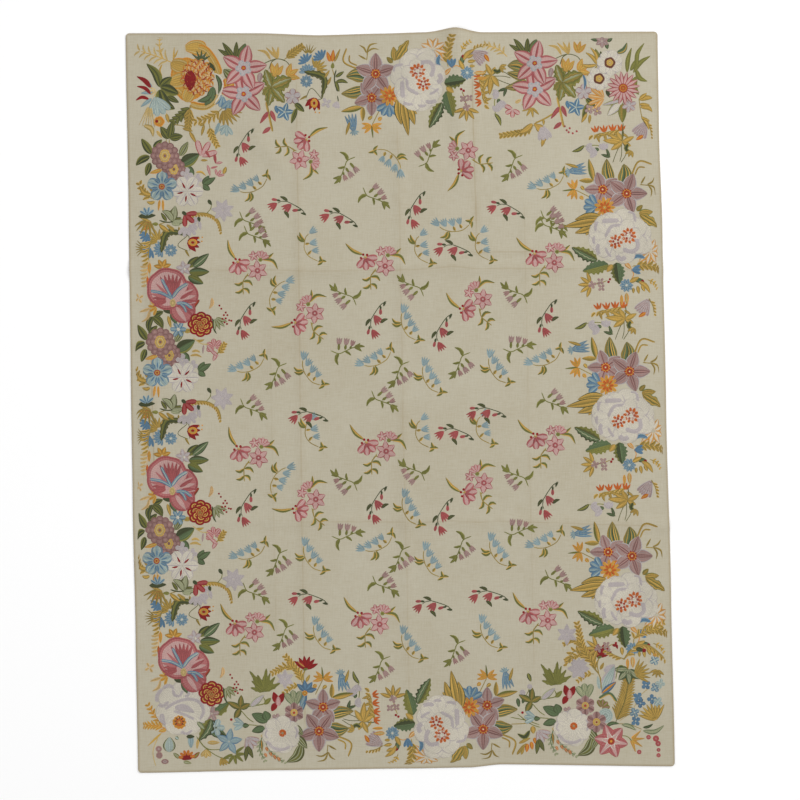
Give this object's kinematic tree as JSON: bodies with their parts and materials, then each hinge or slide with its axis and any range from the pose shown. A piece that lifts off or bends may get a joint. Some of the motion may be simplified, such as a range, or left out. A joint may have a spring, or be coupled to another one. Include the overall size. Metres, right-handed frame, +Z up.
{
  "type": "rug",
  "caption": "Flat rectangular area rug of stitched wool on a thin woven ground, with turned hems and low storage folds",
  "frame": {"origin": "on the floor, under the middle of the rug", "axes": "+X across the rug's width, +Y along its length to the far end, +Z up off the floor"},
  "size_m": [1.5917, 2.1584, 0.0178],
  "materials": {
    "wool": "matt stitched wool"
  },
  "bodies": {
    "root": {"rug": "wool"}
  },
  "joints": []
}
